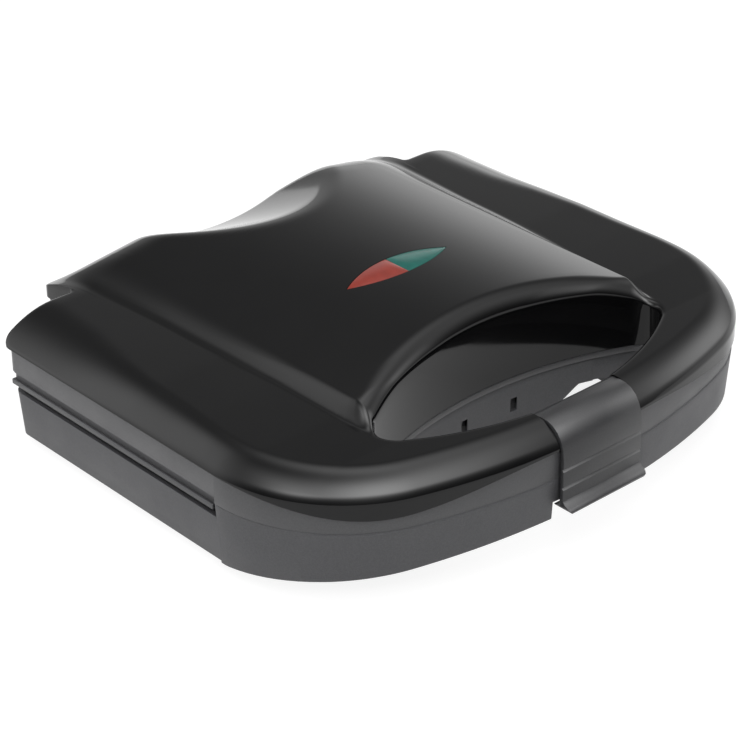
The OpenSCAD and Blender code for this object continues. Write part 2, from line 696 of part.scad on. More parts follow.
module cord_grommet() {
    color("#151515") place() difference() {
        union() {
            rod_y(5, 86, 92.5, 0, inlet_z);
            rod_y(6.6, 89.5, 91.5, 0, inlet_z);
            rod_y(6.2, 85.4, 87, 0, inlet_z);
        }
        rod_y(inlet_radius, 80, 100, 0, inlet_z);
    }
}

module cord_clamp() {
    color("#d8d6cf") place() difference() {
        block(-9, 9, 71, 79, clamp_z, clamp_z + 3);
        rod_y(inlet_radius + 0.6, 60, 90, 0, inlet_z);
        for (x = [-7.6, 7.6]) rod_z(1.3, 6, 20, x, 75);
    }
}

module cord_clamp_screws() {
    color("#b5b5b5") place() for (x = [-7.6, 7.6]) {
        rod_z(1.2, 6.6, clamp_z + 3.1, x, 75);
        difference() {
            rod_z(2, clamp_z + 3, clamp_z + 4.4, x, 75);
            block(x - 1.5, x + 1.5, 74.7, 75.3, clamp_z + 3.8, clamp_z + 6);
        }
    }
}

module thermostat() {
    color("#b9b9bb") place() {
        shield_low = 2 * plate_mid - shield_top + 0.7;
        rod_z(8, shield_low, shield_low + 3, 0, 28);
        rod_z(6.5, shield_low + 2.9, shield_low + 7, 0, 28);
        both_sides() block(4, 5, 25.5, 30.5, shield_low + 6, shield_low + 11);
    }
}

// ---- lamps ----
leaf_length = 25.3;
leaf_half = 6.5;
leaf_y = -10.7;
leaf_radius = (leaf_length * leaf_length + leaf_half * leaf_half) / (2 * leaf_half);
// One half of the leaf-shaped window, d larger all round.
function lens_leaf(d, side) = let (r = leaf_radius + d, c = leaf_radius - leaf_half, l = sqrt(r * r - c * c))
    side > 0
        ? concat([for (i = [0:14]) let (x = l * i / 14) [x, leaf_y - sqrt(r * r - x * x) + c]],
            [for (i = [13:-1:0]) let (x = l * i / 14) [x, leaf_y + sqrt(r * r - x * x) - c]])
        : [for (p = lens_leaf(d, 1)) [-p[0], p[1]]];

module lens(side) {
    intersection() {
        union() {
            plan_prism(lens_leaf(0, side), 62, 69);
            plan_prism(lens_leaf(1.5, side), 62.6, 64);
        }
        rod_y(528 / 2, -40, 20, 0, crown_z - 528 / 2 - 0.05, $fn = 256);
        union() {
            block(-40, 40, -40, 20, 63.9, 70);
            rod_y(528 / 2, -40, 20, 0, crown_z - 528 / 2 - cover_wall - 0.9, $fn = 256);
        }
    }
}

module red_lens() {
    color("#c41f1a") place() intersection() {
        lens(-1);
        block(-40, -0.1, -40, 20, 50, 70);
    }
}

module green_lens() {
    color("#1f9a3c") place() intersection() {
        lens(1);
        block(0.1, 40, -40, 20, 50, 70);
    }
}

module lamp_holder() {
    shield_low = 2 * plate_mid - shield_top + 0.7;
    color("#d9d4c4") place() difference() {
        union() {
            block(-24, 24, -17, -4.4, 55, 61.8);
            both_sides() block(17, 22, -15, -6.4, shield_low, 56);
        }
        both_sides() rod_z(3.3, 40, 70, 10, leaf_y);
    }
}

module neon_lamps() {
    color("#e8c9a8") place() both_sides() {
        rod_z(3.1, 52, 60, 10, leaf_y);
        translate([10, leaf_y, 60]) cylinder(r1 = 3.1, r2 = 1.6, h = 1.4);
        for (x = [-1.2, 1.2]) rod_z(0.4, 47, 53, 10 + x, leaf_y);
    }
}

// ---- hinge and latch ----
module hinge_pins() {
    color("#c0c0c2") place() both_sides() {
        rod_x(hinge_pin_radius, 77.4, 95.4, hinge_y, hinge_z);
        rod_x(3.4, 95.3, 96.7, hinge_y, hinge_z);
    }
}

module latch_pin() {
    color("#c0c0c2") place() rod_x(latch_pin_radius, -latch_half_width + 0.6, latch_half_width - 0.6, latch_y, latch_pin_z);
}

function round_box(x, z0, z1, r, n) = concat(
    [for (i = [0:n]) let (a = 180 + 90 * i / n) [-x + r + r * cos(a), z0 + r + r * sin(a)]],
    [for (i = [0:n]) let (a = 270 + 90 * i / n) [x - r + r * cos(a), z0 + r + r * sin(a)]],
    [[x, z1], [-x, z1]]);

module latch() {
    outer = front_y - 2;
    inner = front_y - 0.3;
    color("#1e1e20") place() intersection() {
        difference() {
            union() {
                side_prism([[latch_y - 0.5, 50.3], [-108, 50.6], [-111, 50.4], [-113.6, 49.5], [-116, 47.6],
                    [-117.8, 44.8], [-119, 41.5], [outer, 37.5], [outer, 34.2], [outer + 0.8, 33.5],
                    [outer, 32.8], [outer, 26.7], [outer + 0.8, 26], [outer, 25.3], [outer, 20.8],
                    [-120.5, 19.5], [-122.3, 18.5], [-lip_reach, 17.5], [-122.9, 16.7], [-121.8, 16.2],
                    [-114.6, 16.2], [-114.6, 18 - hook_gap], [-115.3, 18 - hook_gap],
                    [inner, 18 - hook_gap + (-115.3 - inner) * 0.5], [inner, 40.9], [-116.9, 42.9], [-115.4, 44.9],
                    [-113, 46.8], [-110.8, 47.4], [latch_y - 3, 46.5]],
                    -latch_half_width, latch_half_width);
                rod_x(3.9, -latch_half_width, latch_half_width, latch_y, latch_pin_z);
            }
            rod_x(3.1, -8, 8, latch_y, latch_pin_z);
            block(-8, 8, latch_y - 3.1, latch_y + 8, 40, latch_pin_z);
            rod_x(latch_pin_radius + 0.05, -30, 30, latch_y, latch_pin_z);
        }
        translate([0, -90, 0]) rotate([90, 0, 0]) linear_extrude(60)
            polygon(round_box(latch_half_width, 16, 60, 3.5, 6));
    }
}

base_shell();
lower_plate();
lower_element();
lower_heat_shield();
lower_plate_screws();
terminal_block();
thermal_fuse();
cord_grommet();
cord_clamp();
cord_clamp_screws();
rubber_feet();
hinge_pins();
lid_cover();
lid_frame();
hinge_brackets();
bracket_screws();
latch_mount();
upper_plate();
upper_element();
upper_heat_shield();
upper_plate_screws();
lid_screws();
thermostat();
lamp_holder();
neon_lamps();
red_lens();
green_lens();
latch_pin();
latch();
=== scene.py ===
"""Looks of a two-slice sandwich toaster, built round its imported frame.

Sizes of the cover are in millimetres in the plan of the cooking plates, as the construction has
them: x across the toaster, y toward its hinge, z up. PLAN_SHIFT moves that plan to the frame, whose
origin is under the middle of the whole toaster. Everything placed in the scene is in metres.
"""

import logging
import math
from collections.abc import Sequence
from dataclasses import dataclass, field
from enum import Enum

import bpy
import numpy as np
from mathutils import Matrix, Vector


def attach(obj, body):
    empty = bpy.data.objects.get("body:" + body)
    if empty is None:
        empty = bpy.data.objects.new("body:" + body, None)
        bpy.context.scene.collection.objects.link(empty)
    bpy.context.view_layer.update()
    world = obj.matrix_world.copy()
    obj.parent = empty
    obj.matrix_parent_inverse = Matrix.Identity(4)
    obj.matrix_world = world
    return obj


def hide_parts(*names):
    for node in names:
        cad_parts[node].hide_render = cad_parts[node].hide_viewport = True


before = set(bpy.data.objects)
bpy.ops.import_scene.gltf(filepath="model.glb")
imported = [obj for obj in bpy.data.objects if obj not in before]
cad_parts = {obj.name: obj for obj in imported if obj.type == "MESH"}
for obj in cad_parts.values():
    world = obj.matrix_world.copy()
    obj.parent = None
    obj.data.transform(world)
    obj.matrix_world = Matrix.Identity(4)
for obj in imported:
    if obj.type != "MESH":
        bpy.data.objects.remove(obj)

LOG = logging.getLogger("toaster")
MM = 0.001
PLAN_SHIFT = 10.8
IMAGE_SIDE = 736
SIDE_NAMES = {1: "right", -1: "left"}
# Degrees: below FLAT, neighbouring faces become one, and above SHARP an edge is shaded crisp.
FLAT, SHARP = 0.6, 34.0
# Shares of the finger hole's half outline: its front arc, its end, and where its rear arc starts.
FRONT_SHARE, END_SHARE, REAR_START, REAR_SHARE = 0.4, 0.2, 0.6, 0.4
# Length over which a wave texture of scale 1 repeats.
WAVE_PERIOD = 0.314
# Values that change along a direction: the places, and the value at each.
Table = tuple[tuple[float, ...], tuple[float, ...]]
Piece, Socket, Triple = bpy.types.Object, bpy.types.NodeSocket, tuple[float, float, float]


# ---- work with Blender's operators ----
def deselect_all() -> None:
    """Leave object mode's selection empty."""
    if bpy.context.mode != "OBJECT":
        bpy.ops.object.mode_set(mode="OBJECT")
    bpy.ops.object.select_all(action="DESELECT")


def pick(piece: Piece) -> Piece:
    """Select one object alone and make it the active one.

    Args:
        piece: The object to work on.

    Returns:
        The same object.
    """
    deselect_all()
    piece.select_set(True)
    bpy.context.view_layer.objects.active = piece
    return piece


def newest(name: str) -> Piece:
    """Name the primitive that was just added.

    Args:
        name: The piece's name.

    Returns:
        The new object.
    """
    piece = bpy.context.active_object
    piece.name = name
    piece.data.name = name
    return piece


def smooth_by_angle(piece: Piece, degrees: float) -> None:
    """Shade smoothly, with edges that turn more than some degrees left crisp."""
    pick(piece)
    bpy.ops.object.shade_smooth_by_angle(angle=math.radians(degrees))


def finish_with(piece: Piece, kind: str, **settings: object) -> None:
    """Add one modifier, set it and apply it.

    Args:
        piece: The mesh object.
        kind: Blender's name for the modifier.
        **settings: Properties of the modifier and their values.
    """
    pick(piece)
    modifier = piece.modifiers.new(kind.lower(), kind)
    for key, value in settings.items():
        setattr(modifier, key, value)
    bpy.ops.object.modifier_apply(modifier=modifier.name)


def ease_edges(piece: Piece, width_mm: float, corner: float, segments: int = 2,
               miter: str = "MITER_SHARP") -> None:
    """Round a moulding's edges that turn more than corner degrees, and shade it."""
    finish_with(piece, "BEVEL", width=width_mm * MM, segments=segments, limit_method="ANGLE",
                angle_limit=math.radians(corner), use_clamp_overlap=True, miter_outer=miter)
    smooth_by_angle(piece, SHARP)


def merged_copy(node: str, name: str, weld: float = 0.00002) -> Piece:
    """Copy a CAD node and weld its loose triangles into faces that share their corners.

    Args:
        node: The CAD node.
        name: The copy's name.
        weld: Corners nearer than this become one.

    Returns:
        The copy, as a closed mesh of flat faces.
    """
    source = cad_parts[node]
    piece = bpy.data.objects.new(name, source.data.copy())
    bpy.context.scene.collection.objects.link(piece)
    piece.data.name = name
    pick(piece)
    bpy.ops.object.mode_set(mode="EDIT")
    bpy.ops.mesh.select_all(action="SELECT")
    bpy.ops.mesh.remove_doubles(threshold=weld)
    bpy.ops.mesh.customdata_custom_splitnormals_clear()
    bpy.ops.mesh.dissolve_limited(angle_limit=math.radians(FLAT))
    bpy.ops.object.mode_set(mode="OBJECT")
    return piece


def sheet(name: str, lines: np.ndarray, wall: float, outward: Vector) -> Piece:
    """Shape a grid over lines of points and give it a wall.

    Args:
        name: The piece's name.
        lines: Points in plan millimetres, indexed by line, by place on the line and by axis.
        wall: Thickness, laid to the inside.
        outward: Where the highest face has to look.

    Returns:
        The closed sheet.
    """
    across, along = lines.shape[0] - 1, lines.shape[1] - 1
    deselect_all()
    bpy.ops.mesh.primitive_grid_add(x_subdivisions=across, y_subdivisions=along, size=2)
    piece = newest(name)
    for vertex in piece.data.vertices:
        i = round((vertex.co.x + 1) / 2 * across)
        j = round((vertex.co.y + 1) / 2 * along)
        x, y, z = lines[i, j]
        vertex.co = (x * MM, (y + PLAN_SHIFT) * MM, z * MM)
    pick(piece)
    bpy.ops.object.mode_set(mode="EDIT")
    bpy.ops.mesh.select_all(action="SELECT")
    bpy.ops.mesh.normals_make_consistent(inside=False)
    bpy.ops.object.mode_set(mode="OBJECT")
    top = max(piece.data.polygons, key=lambda face: face.center.z)
    if top.normal.dot(outward) < 0:
        piece.data.flip_normals()
    finish_with(piece, "SOLIDIFY", thickness=wall * MM, offset=-1, use_even_offset=True,
                thickness_clamp=1.0)
    return piece


def cut_boxes(piece: Piece, boxes: Sequence[tuple[float, ...]]) -> None:
    """Cut boxes out of a piece.

    Args:
        piece: The mesh object.
        boxes: For each x0, x1, y0, y1, z0 and z1 in plan millimetres.
    """
    for x0, x1, y0, y1, z0, z1 in boxes:
        deselect_all()
        bpy.ops.mesh.primitive_cube_add(size=1)
        cutter = newest("cutter")
        middle = ((x0 + x1) / 2, (y0 + y1) / 2 + PLAN_SHIFT, (z0 + z1) / 2)
        size = (x1 - x0, y1 - y0, z1 - z0)
        for vertex in cutter.data.vertices:
            vertex.co = [(c + s * w) * MM for c, s, w in zip(middle, vertex.co, size)]
        finish_with(piece, "BOOLEAN", operation="DIFFERENCE", solver="EXACT", object=cutter)
        bpy.data.objects.remove(cutter)


# ---- finishes ----
class Pattern(Enum):
    """How a surface was made, which decides the pattern of its fine relief."""

    POLISHED = "moulded in a polished tool"
    SPARKED = "moulded in a spark-eroded tool"
    COATED = "sprayed with a speckled coating"
    ROLLED = "rolled or drawn metal"
    LIT = "clear coloured moulding with fine prisms"


class Nodes:
    """The node tree of a material or a world, with short ways to add and join nodes."""

    def __init__(self, owner: bpy.types.Material | bpy.types.World,
                 output: str = "ShaderNodeOutputMaterial") -> None:
        """Start with an empty tree.

        Args:
            owner: The material or the world.
            output: Type of its output node.
        """
        owner.use_nodes = True
        self.owner = owner
        self.tree = owner.node_tree
        self.tree.nodes.clear()
        self.output = self.add(output)

    def add(self, kind: str, inputs: dict[str | int, object] | None = None,
            **values: object) -> bpy.types.Node:
        """Add a node.

        Args:
            kind: The node's type.
            inputs: For each input its value, or the socket to link to it.
            **values: Properties to set on it.

        Returns:
            The new node.
        """
        node = self.tree.nodes.new(kind)
        for key, value in values.items():
            setattr(node, key, value)
        for key, value in (inputs or {}).items():
            if isinstance(value, Socket):
                self.tree.links.new(value, node.inputs[key])
            else:
                node.inputs[key].default_value = value
        return node

    def finish(self, surface: Socket) -> None:
        """Link what was built to the output."""
        self.tree.links.new(surface, self.output.inputs["Surface"])

    def place(self, stretch: Triple) -> Socket:
        """Give the object's own coordinates in millimetres, stretched along the axes."""
        own = self.add("ShaderNodeTexCoord").outputs["Object"]
        inputs = {"Scale": [s / MM for s in stretch], "Vector": own}
        return self.add("ShaderNodeMapping", inputs).outputs["Vector"]

    def noise(self, size_mm: float, detail: float, stretch: Triple = (1, 1, 1),
              seed: float = 0.0) -> Socket:
        """Add noise of 0 to 1, whose blotches have a real size; seed is its place in 4D."""
        inputs = {"W": seed, "Scale": 1 / size_mm, "Detail": detail, "Vector": self.place(stretch)}
        return self.add("ShaderNodeTexNoise", inputs, noise_dimensions="4D").outputs["Fac"]

    def spread(self, value: Socket, low: float, high: float,
               start: float = 0.3, end: float = 0.7) -> Socket:
        """Map a pattern to low at its value start, and to high at its value end."""
        inputs = {"From Min": start, "From Max": end, "To Min": low, "To Max": high, "Value": value}
        return self.add("ShaderNodeMapRange", inputs).outputs["Result"]

    def two_tone(self, value: Socket, first: Triple,
                 second: Triple, start: float,
                 end: float) -> Socket:
        """Blend two colours by a pattern.

        Args:
            value: The pattern.
            first: Linear colour below the start.
            second: Linear colour above the end.
            start: Pattern value where the blend starts.
            end: Pattern value where it ends.

        Returns:
            The socket with the colour.
        """
        ramp = self.add("ShaderNodeValToRGB", {"Fac": value})
        for stop, place, color in zip(ramp.color_ramp.elements, (start, end), (first, second)):
            stop.position, stop.color = place, (*color, 1)
        return ramp.outputs["Color"]

    def bump(self, height: Socket, depth_mm: float, strength: float = 1.0,
             below: Socket | None = None) -> Socket:
        """Turn a pattern into fine relief.

        Args:
            height: The pattern.
            depth_mm: Real height of the relief.
            strength: Share of it that shows.
            below: Normal of a coarser relief under it.

        Returns:
            The socket with the normal.
        """
        inputs = {"Distance": depth_mm * MM, "Strength": strength, "Height": height}
        if below is not None:
            inputs["Normal"] = below
        return self.add("ShaderNodeBump", inputs).outputs["Normal"]


@dataclass(frozen=True)
class Finish:
    """One finish of the toaster: its colours, its sheen and the relief of the real surface.

    wander is how far the roughness strays over blotches of blotch_mm. grain_mm and relief_mm are
    the width and the height of the fine relief.
    """

    slot: str
    pattern: Pattern
    color: Triple
    second: Triple
    roughness: float
    wander: float
    grain_mm: float
    relief_mm: float
    blotch_mm: float = 30.0
    metallic: float = 0.0
    ior: float = 1.5
    transmission: float = 0.0
    # glow is painted light: the surface gives off its own colour, though it is no lamp.
    glow: float = 0.0
    stretch: Triple = (1.0, 1.0, 1.0)

    def build(self) -> bpy.types.Material:
        """Make the material.

        Returns:
            The finished material.
        """
        nodes = Nodes(bpy.data.materials.new(self.slot))
        blotches = nodes.noise(self.blotch_mm, 3.0, self.stretch, seed=1.7)
        low = self.roughness - self.wander
        inputs = {
            "Metallic": self.metallic, "IOR": self.ior, "Transmission Weight": self.transmission,
            "Base Color": self.tint(nodes), "Normal": self.relief(nodes),
            "Roughness": nodes.spread(blotches, low, self.roughness + self.wander),
        }
        # Painted glow: emission of the finish's own colour, standing in for light the part does not
        # get from any lamp.
        if self.glow > 0:
            inputs |= {"Emission Color": (*self.color, 1), "Emission Strength": self.glow}
        nodes.finish(nodes.add("ShaderNodeBsdfPrincipled", inputs).outputs["BSDF"])
        return nodes.owner

    def tint(self, nodes: Nodes) -> Socket:
        """Give the colour pattern.

        Args:
            nodes: The material being built.

        Returns:
            The socket with the colour.
        """
        if self.pattern is Pattern.COATED:
            specks = nodes.noise(self.grain_mm * 2.2, 1.0, seed=4.1)
            return nodes.two_tone(specks, self.color, self.second, 0.66, 0.72)
        if self.pattern is Pattern.SPARKED:
            grain = nodes.noise(self.grain_mm * 1.6, 2.0, seed=2.3)
            return nodes.two_tone(grain, self.color, self.second, 0.35, 0.7)
        clouds = nodes.noise(self.blotch_mm * 0.7, 4.0, self.stretch, seed=3.3)
        return nodes.two_tone(clouds, self.color, self.second, 0.35, 0.7)

    def relief(self, nodes: Nodes) -> Socket:
        """Give the fine relief.

        Args:
            nodes: The material being built.

        Returns:
            The socket with the normal.
        """
        if self.pattern is Pattern.LIT:
            inputs = {"Scale": WAVE_PERIOD / self.grain_mm, "Distortion": 0.0,
                      "Vector": nodes.place((1, 0.35, 0))}
            wave = nodes.add("ShaderNodeTexWave", inputs, bands_direction="X", wave_profile="TRI")
            return nodes.bump(wave.outputs["Fac"], self.relief_mm)
        fine = nodes.noise(self.grain_mm, 2.0, self.stretch, seed=5.9)
        if self.pattern is Pattern.SPARKED:
            inputs = {"Scale": 1 / (self.grain_mm * 1.3), "Vector": nodes.place((1, 1, 1))}
            pits = nodes.add("ShaderNodeTexVoronoi", inputs, feature="SMOOTH_F1")
            coarse = nodes.bump(pits.outputs["Distance"], self.relief_mm)
            return nodes.bump(fine, self.relief_mm, 0.6, coarse)
        return nodes.bump(fine, self.relief_mm)


FINISHES = (
    Finish("gloss_black", Pattern.POLISHED, (0.0036, 0.0036, 0.0039), (0.0046, 0.0046, 0.0049),
           0.085, 0.025, 5.0, 0.003, ior=1.36),
    Finish("satin_black", Pattern.SPARKED, (0.020, 0.020, 0.0215), (0.030, 0.030, 0.032),
           0.44, 0.05, 0.32, 0.020, 14.0),
    Finish("housing_black", Pattern.SPARKED, (0.050, 0.050, 0.054), (0.066, 0.066, 0.070),
           0.50, 0.05, 0.34, 0.024, 16.0),
    Finish("frame_black", Pattern.SPARKED, (0.052, 0.052, 0.055), (0.066, 0.066, 0.069),
           0.42, 0.05, 0.30, 0.018, 15.0),
    Finish("latch_black", Pattern.SPARKED, (0.018, 0.018, 0.0195), (0.027, 0.027, 0.029),
           0.36, 0.05, 0.28, 0.014, 9.0),
    Finish("nonstick", Pattern.COATED, (0.010, 0.010, 0.011), (0.050, 0.049, 0.048),
           0.40, 0.06, 0.22, 0.010, 18.0),
    Finish("element_metal", Pattern.ROLLED, (0.30, 0.285, 0.265), (0.22, 0.19, 0.165),
           0.38, 0.10, 0.20, 0.008, 11.0, metallic=1.0),
    Finish("sheet_metal", Pattern.ROLLED, (0.60, 0.60, 0.61), (0.50, 0.50, 0.51),
           0.32, 0.07, 0.25, 0.006, 12.0, metallic=1.0, stretch=(0.08, 1.0, 1.0)),
    Finish("screw_steel", Pattern.ROLLED, (0.52, 0.52, 0.53), (0.42, 0.41, 0.40),
           0.28, 0.08, 0.15, 0.006, 3.0, metallic=1.0),
    Finish("ceramic", Pattern.SPARKED, (0.66, 0.64, 0.58), (0.74, 0.72, 0.67),
           0.55, 0.08, 0.30, 0.012, 6.0),
    Finish("fuse_body", Pattern.ROLLED, (0.58, 0.47, 0.25), (0.48, 0.38, 0.20),
           0.34, 0.08, 0.20, 0.006, 4.0, metallic=1.0),
    Finish("rubber", Pattern.SPARKED, (0.016, 0.016, 0.016), (0.026, 0.026, 0.025),
           0.72, 0.08, 0.40, 0.022, 7.0),
    Finish("lamp_glass", Pattern.POLISHED, (0.86, 0.70, 0.58), (0.92, 0.78, 0.66),
           0.06, 0.02, 2.0, 0.004, 5.0, transmission=0.9),
    # The lenses carry a small painted glow: they give off their own colour, though no lamp behind
    # them is lit.
    Finish("red_lens", Pattern.LIT, (0.300, 0.038, 0.024), (0.235, 0.030, 0.020),
           0.17, 0.04, 1.1, 0.05, 5.0, ior=1.4, glow=0.10),
    Finish("green_lens", Pattern.LIT, (0.012, 0.135, 0.110), (0.010, 0.105, 0.088),
           0.17, 0.04, 1.1, 0.05, 5.0, ior=1.3, glow=0.10),
)


class Palette:
    """All finishes as materials, by name."""

    def __init__(self) -> None:
        """Build every finish once."""
        self.materials = {finish.slot: finish.build() for finish in FINISHES}

    def dress(self, piece: Piece, finish: str, slot: str | None = None) -> None:
        """Give a whole piece one finish.

        Args:
            piece: The object.
            finish: The finish's name.
            slot: The record's slot, where it has another name; not used.
        """
        material = self.materials[finish]
        if piece.material_slots:
            for holder in piece.material_slots:
                holder.material = material
        else:
            piece.data.materials.append(material)


# ---- the cover ----
def smoothstep(t: np.ndarray) -> np.ndarray:
    """Rise from 0 to 1 with level ends."""
    c = np.clip(t, 0, 1)
    return c * c * (3 - 2 * c)


def soft_min(a: np.ndarray, b: np.ndarray, k: float) -> np.ndarray:
    """Take the lower of two heights, rounded where they differ by less than k."""
    h = np.maximum(k - np.abs(a - b), 0) / k
    return np.minimum(a, b) - h * h * k / 4


def arc(x: float, y: float, r: float, a0: float, a1: float, n: int) -> list[tuple[float, float]]:
    """Give points of an arc, both ends included, with angles in degrees from +X."""
    angles = [math.radians(a0 + (a1 - a0) * i / n) for i in range(n + 1)]
    return [(x + r * math.cos(a), y + r * math.sin(a)) for a in angles]


def level(x0: float, x1: float, y: float, n: int) -> list[tuple[float, float]]:
    """Give n points along a straight edge of constant y, without the first end."""
    return [(x0 + (x1 - x0) * i / n, y) for i in range(1, n + 1)]


@dataclass
class LidCover:
    """The gloss cover: wings, raised centre, rear scoop and the finger hole's rounded rim."""

    half_width: float = 120.0
    corner_radius: float = 61.0
    bow_radius: float = 253.0
    front_reach: float = 117.5
    wing_reach: float = 78.0
    ear_half_width: float = 86.0
    ear_reach: float = 101.5
    overhang: float = 1.2
    edge_z: float = 43.0
    wing_z: float = 53.0
    crown_z: float = 67.3
    crown_radius: float = 264.0
    crown_half_width: float = 69.0
    scoop_half_width: float = 38.0
    scoop_y: float = 50.0
    scoop_bow: float = 20.5
    scoop_slope: float = 0.465
    scoop_round: float = 2.4
    crown_start: float = -80.0
    crown_rise: float = 16.0
    flank_top_round: float = 1.5
    flank_foot_round: float = 1.3
    fall_start: float = 72.0
    fall_past: float = 0.3
    fall_z: float = 46.0
    fall_power: float = 2.2
    wing_fall: Table = ((-110, -85, -60, -30, 0), (2.3, 2, 1, 0.4, 0))
    flank_foot: Table = ((-80, -60, -30, -9, 13, 36, 54, 75), (3.5, 4.5, 5.7, 7, 8, 8.5, 9.5, 10.5))
    edge_reach: Table = ((-41, -20, 2, 23, 45, 69), (12, 14, 15, 18, 23, 25))
    hole_round: Table = ((-84, -76, -66, -58), (2, 3, 6, 8))
    hole_wall_low: Table = ((-86, -74), (40, 32.2))
    wing_round: float = 4.0
    ear_round: float = 3.5
    bay_depth: float = 3.5
    bay_half_width: float = 60.0
    bay_rise: float = 48.0
    hole_rear_radius: float = 160.0
    hole_front_radius: float = 126.0
    hole_end_radius: float = 8.0
    hole_front_y: float = 22.0
    hole_rear_y: float = -217.0
    notch_half_width: float = 20.4
    dip_angle: float = 28.4
    side_low: float = 42.3
    side_dip: float = 7.3
    front_low: float = 41.3
    front_dip: float = 6.3
    dip_length: float = 72.0
    scoop_lines_x: float = 64.0
    scoop_lines_y: float = 90.0
    scoop_blend: float = 12.0
    near_length: float = 26.0
    near_share: float = 0.45
    near_power: float = 1.45
    rim_length: float = 8.5
    rim_share: float = 0.4
    edge_drop: float = 1.3
    edge_round: float = 1.7
    wall: float = 2.0
    sharp: float = 42.0
    lens_length: float = 25.3
    lens_half: float = 6.5
    lens_y: float = -10.7
    lens_gap: float = 0.22
    near_rows: int = 27
    middle_rows: int = 34
    rim_rows: int = 16
    wall_rows: int = 5
    hole_rows: int = 6
    front_y: float = field(init=False)
    corner_x: float = field(init=False)
    corner_y: float = field(init=False)
    bow_angle: float = field(init=False)
    end_x: float = field(init=False)
    end_y: float = field(init=False)
    front_angle: float = field(init=False)
    rear_angle: float = field(init=False)

    def __post_init__(self) -> None:
        """Work out where the arcs of both outlines touch each other."""
        self.front_y = -self.front_reach
        self.corner_x = self.half_width - self.corner_radius
        span = self.bow_radius - self.corner_radius
        centre = self.front_y + self.bow_radius
        self.corner_y = centre - math.sqrt(span ** 2 - self.corner_x ** 2)
        self.bow_angle = math.degrees(math.atan2(self.corner_x, centre - self.corner_y))
        far = self.hole_rear_radius - self.hole_end_radius
        near = self.hole_front_radius - self.hole_end_radius
        gap = self.hole_front_y - self.hole_rear_y
        self.end_y = self.hole_rear_y + (far ** 2 - near ** 2 + gap ** 2) / (2 * gap)
        self.end_x = math.sqrt(far ** 2 - (self.end_y - self.hole_rear_y) ** 2)
        self.front_angle = math.degrees(math.atan2(self.end_x, self.hole_front_y - self.end_y))
        self.rear_angle = 180 - math.degrees(math.atan2(self.end_x, self.end_y - self.hole_rear_y))

    # -- outlines --
    def bow_point(self, angle: float) -> tuple[float, float]:
        """Give the point of the bowed front at an angle in degrees."""
        r, a = self.bow_radius + self.overhang, math.radians(angle)
        return r * math.sin(a), self.front_y + self.bow_radius - r * math.cos(a)

    def corner_point(self, angle: float) -> tuple[float, float]:
        """Give the point of the front corner at an angle in degrees."""
        r, a = self.corner_radius + self.overhang, math.radians(angle)
        return self.corner_x + r * math.sin(a), self.corner_y - r * math.cos(a)

    def hole_point(self, t: float) -> tuple[float, float]:
        """Give a point of the finger hole's right half.

        Args:
            t: Place on it, from the handle side (0) to the rear wall (1).

        Returns:
            Its x and y.
        """
        if t < FRONT_SHARE:
            a = math.radians(self.front_angle * t / FRONT_SHARE)
            r, x, y = self.hole_front_radius, 0.0, self.hole_front_y
        elif t < REAR_START:
            turn = self.rear_angle - self.front_angle
            a = math.radians(self.front_angle + turn * (t - FRONT_SHARE) / END_SHARE)
            r, x, y = self.hole_end_radius, self.end_x, self.end_y
        else:
            turn = 180 - self.rear_angle
            a = math.radians(self.rear_angle + turn * (t - REAR_START) / REAR_SHARE)
            r, x, y = self.hole_rear_radius, 0.0, self.hole_rear_y
        return x + r * math.sin(a), y - r * math.cos(a)

    def line_starts(self) -> list[Triple]:
        """List where the cover's lines start on the outline.

        Returns:
            For each line of the right half x, y and its partner's place on the finger hole.
        """
        notch = math.degrees(math.asin(self.notch_half_width / (self.bow_radius + self.overhang)))
        hole_notch = math.degrees(math.asin(self.notch_half_width / self.hole_front_radius))
        first_t = FRONT_SHARE * hole_notch / self.front_angle
        out, turn, ear_turn = self.overhang, self.wing_round, self.ear_round
        edge, ear = self.half_width + out, self.ear_half_width - out
        wing, rear = self.wing_reach, self.ear_reach
        dense = self.bow_angle + (90 - self.bow_angle) * 6 / 13
        bay_x = np.linspace(self.bay_half_width, 0, 41)
        inward = smoothstep((self.bay_half_width - bay_x) / self.bay_rise)
        # Each section of the outline, and where its last line ends on the finger hole.
        sections = [
            ([self.bow_point(notch + (self.bow_angle - notch) * i / 26) for i in range(27)], 0.36),
            ([self.corner_point(self.bow_angle + (dense - self.bow_angle) * i / 26)
              for i in range(1, 27)], 0.44),
            ([self.corner_point(dense + (90 - dense) * i / 28) for i in range(1, 29)], 0.49),
            ([(edge, self.corner_y + (wing - turn - self.corner_y) * i / 40)
              for i in range(1, 40)], 0.53),
            (arc(self.half_width - turn, wing - turn, turn + out, 0, 90, 7)
             + level(self.half_width - turn, 108, wing + out, 4), 0.55),
            (level(108, ear + turn, wing + out, 7)
             + arc(ear + turn, wing + turn, turn - out, 270, 180, 7)[1:]
             + [(ear + out, wing + turn + i) for i in (2, 4, 6)], 0.58),
            ([(ear + out, wing + 12)]
             + arc(ear - ear_turn, rear - out - ear_turn, ear_turn + out, 0, 90, 7), 0.6),
            (level(ear - ear_turn, self.crown_half_width, rear, 6), 0.64),
            (level(self.crown_half_width, 61, rear, 4), 0.68),
            ([(x, rear - self.bay_depth * deep) for x, deep in zip(bay_x, inward)], 1.0),
        ]
        lines, t0 = [], first_t
        for points, t1 in sections:
            for i, (x, y) in enumerate(points, start=1):
                at_notch = not lines or lines[-1][2] == first_t
                share = (i - 1) / (len(points) - 1) if at_notch else i / len(points)
                lines.append((x, y, t0 + (t1 - t0) * share))
            t0 = t1
        return lines

